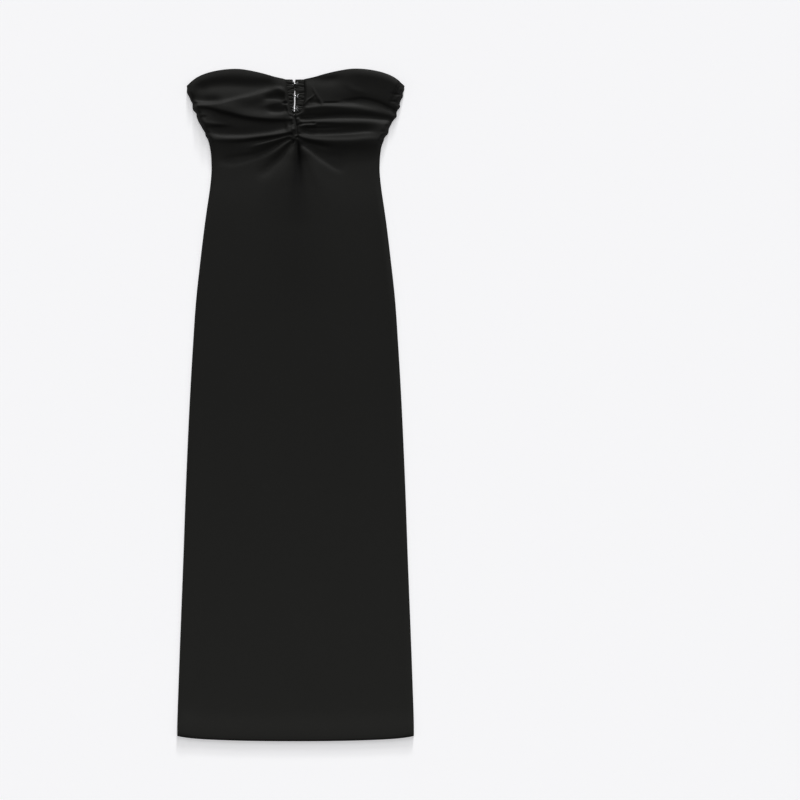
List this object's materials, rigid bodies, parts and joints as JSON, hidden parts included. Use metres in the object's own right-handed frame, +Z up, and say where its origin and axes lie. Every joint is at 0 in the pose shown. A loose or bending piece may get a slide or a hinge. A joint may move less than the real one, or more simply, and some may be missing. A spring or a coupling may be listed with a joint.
{
  "type": "strapless cut-out dress",
  "caption": "Long strapless knitted dress laid flat, its bust gathered at the middle and sides, with a short hooked slit and a plain hemmed skirt.",
  "frame": {"origin": "on the surface that the dress lies on, below the middle of its bounding box", "axes": "+X to the right of the dress as seen from above, +Y along it from hem to neckline, +Z up out of its front"},
  "size_m": [0.4248, 1.2079, 0.0163],
  "materials": {
    "knit": "matte black double knit with a soft sheen",
    "ruche": "the same black knit, finely gathered",
    "hook_wire": "bright nickel-plated wire"
  },
  "bodies": {
    "root": {"back_panel": "knit", "front_panel": "knit", "band_left": "ruche", "band_right": "ruche", "hook_top": "hook_wire", "hook_middle": "hook_wire", "hook_bottom": "hook_wire", "eye_top": "hook_wire", "eye_middle": "hook_wire", "eye_bottom": "hook_wire"}
  },
  "joints": []
}
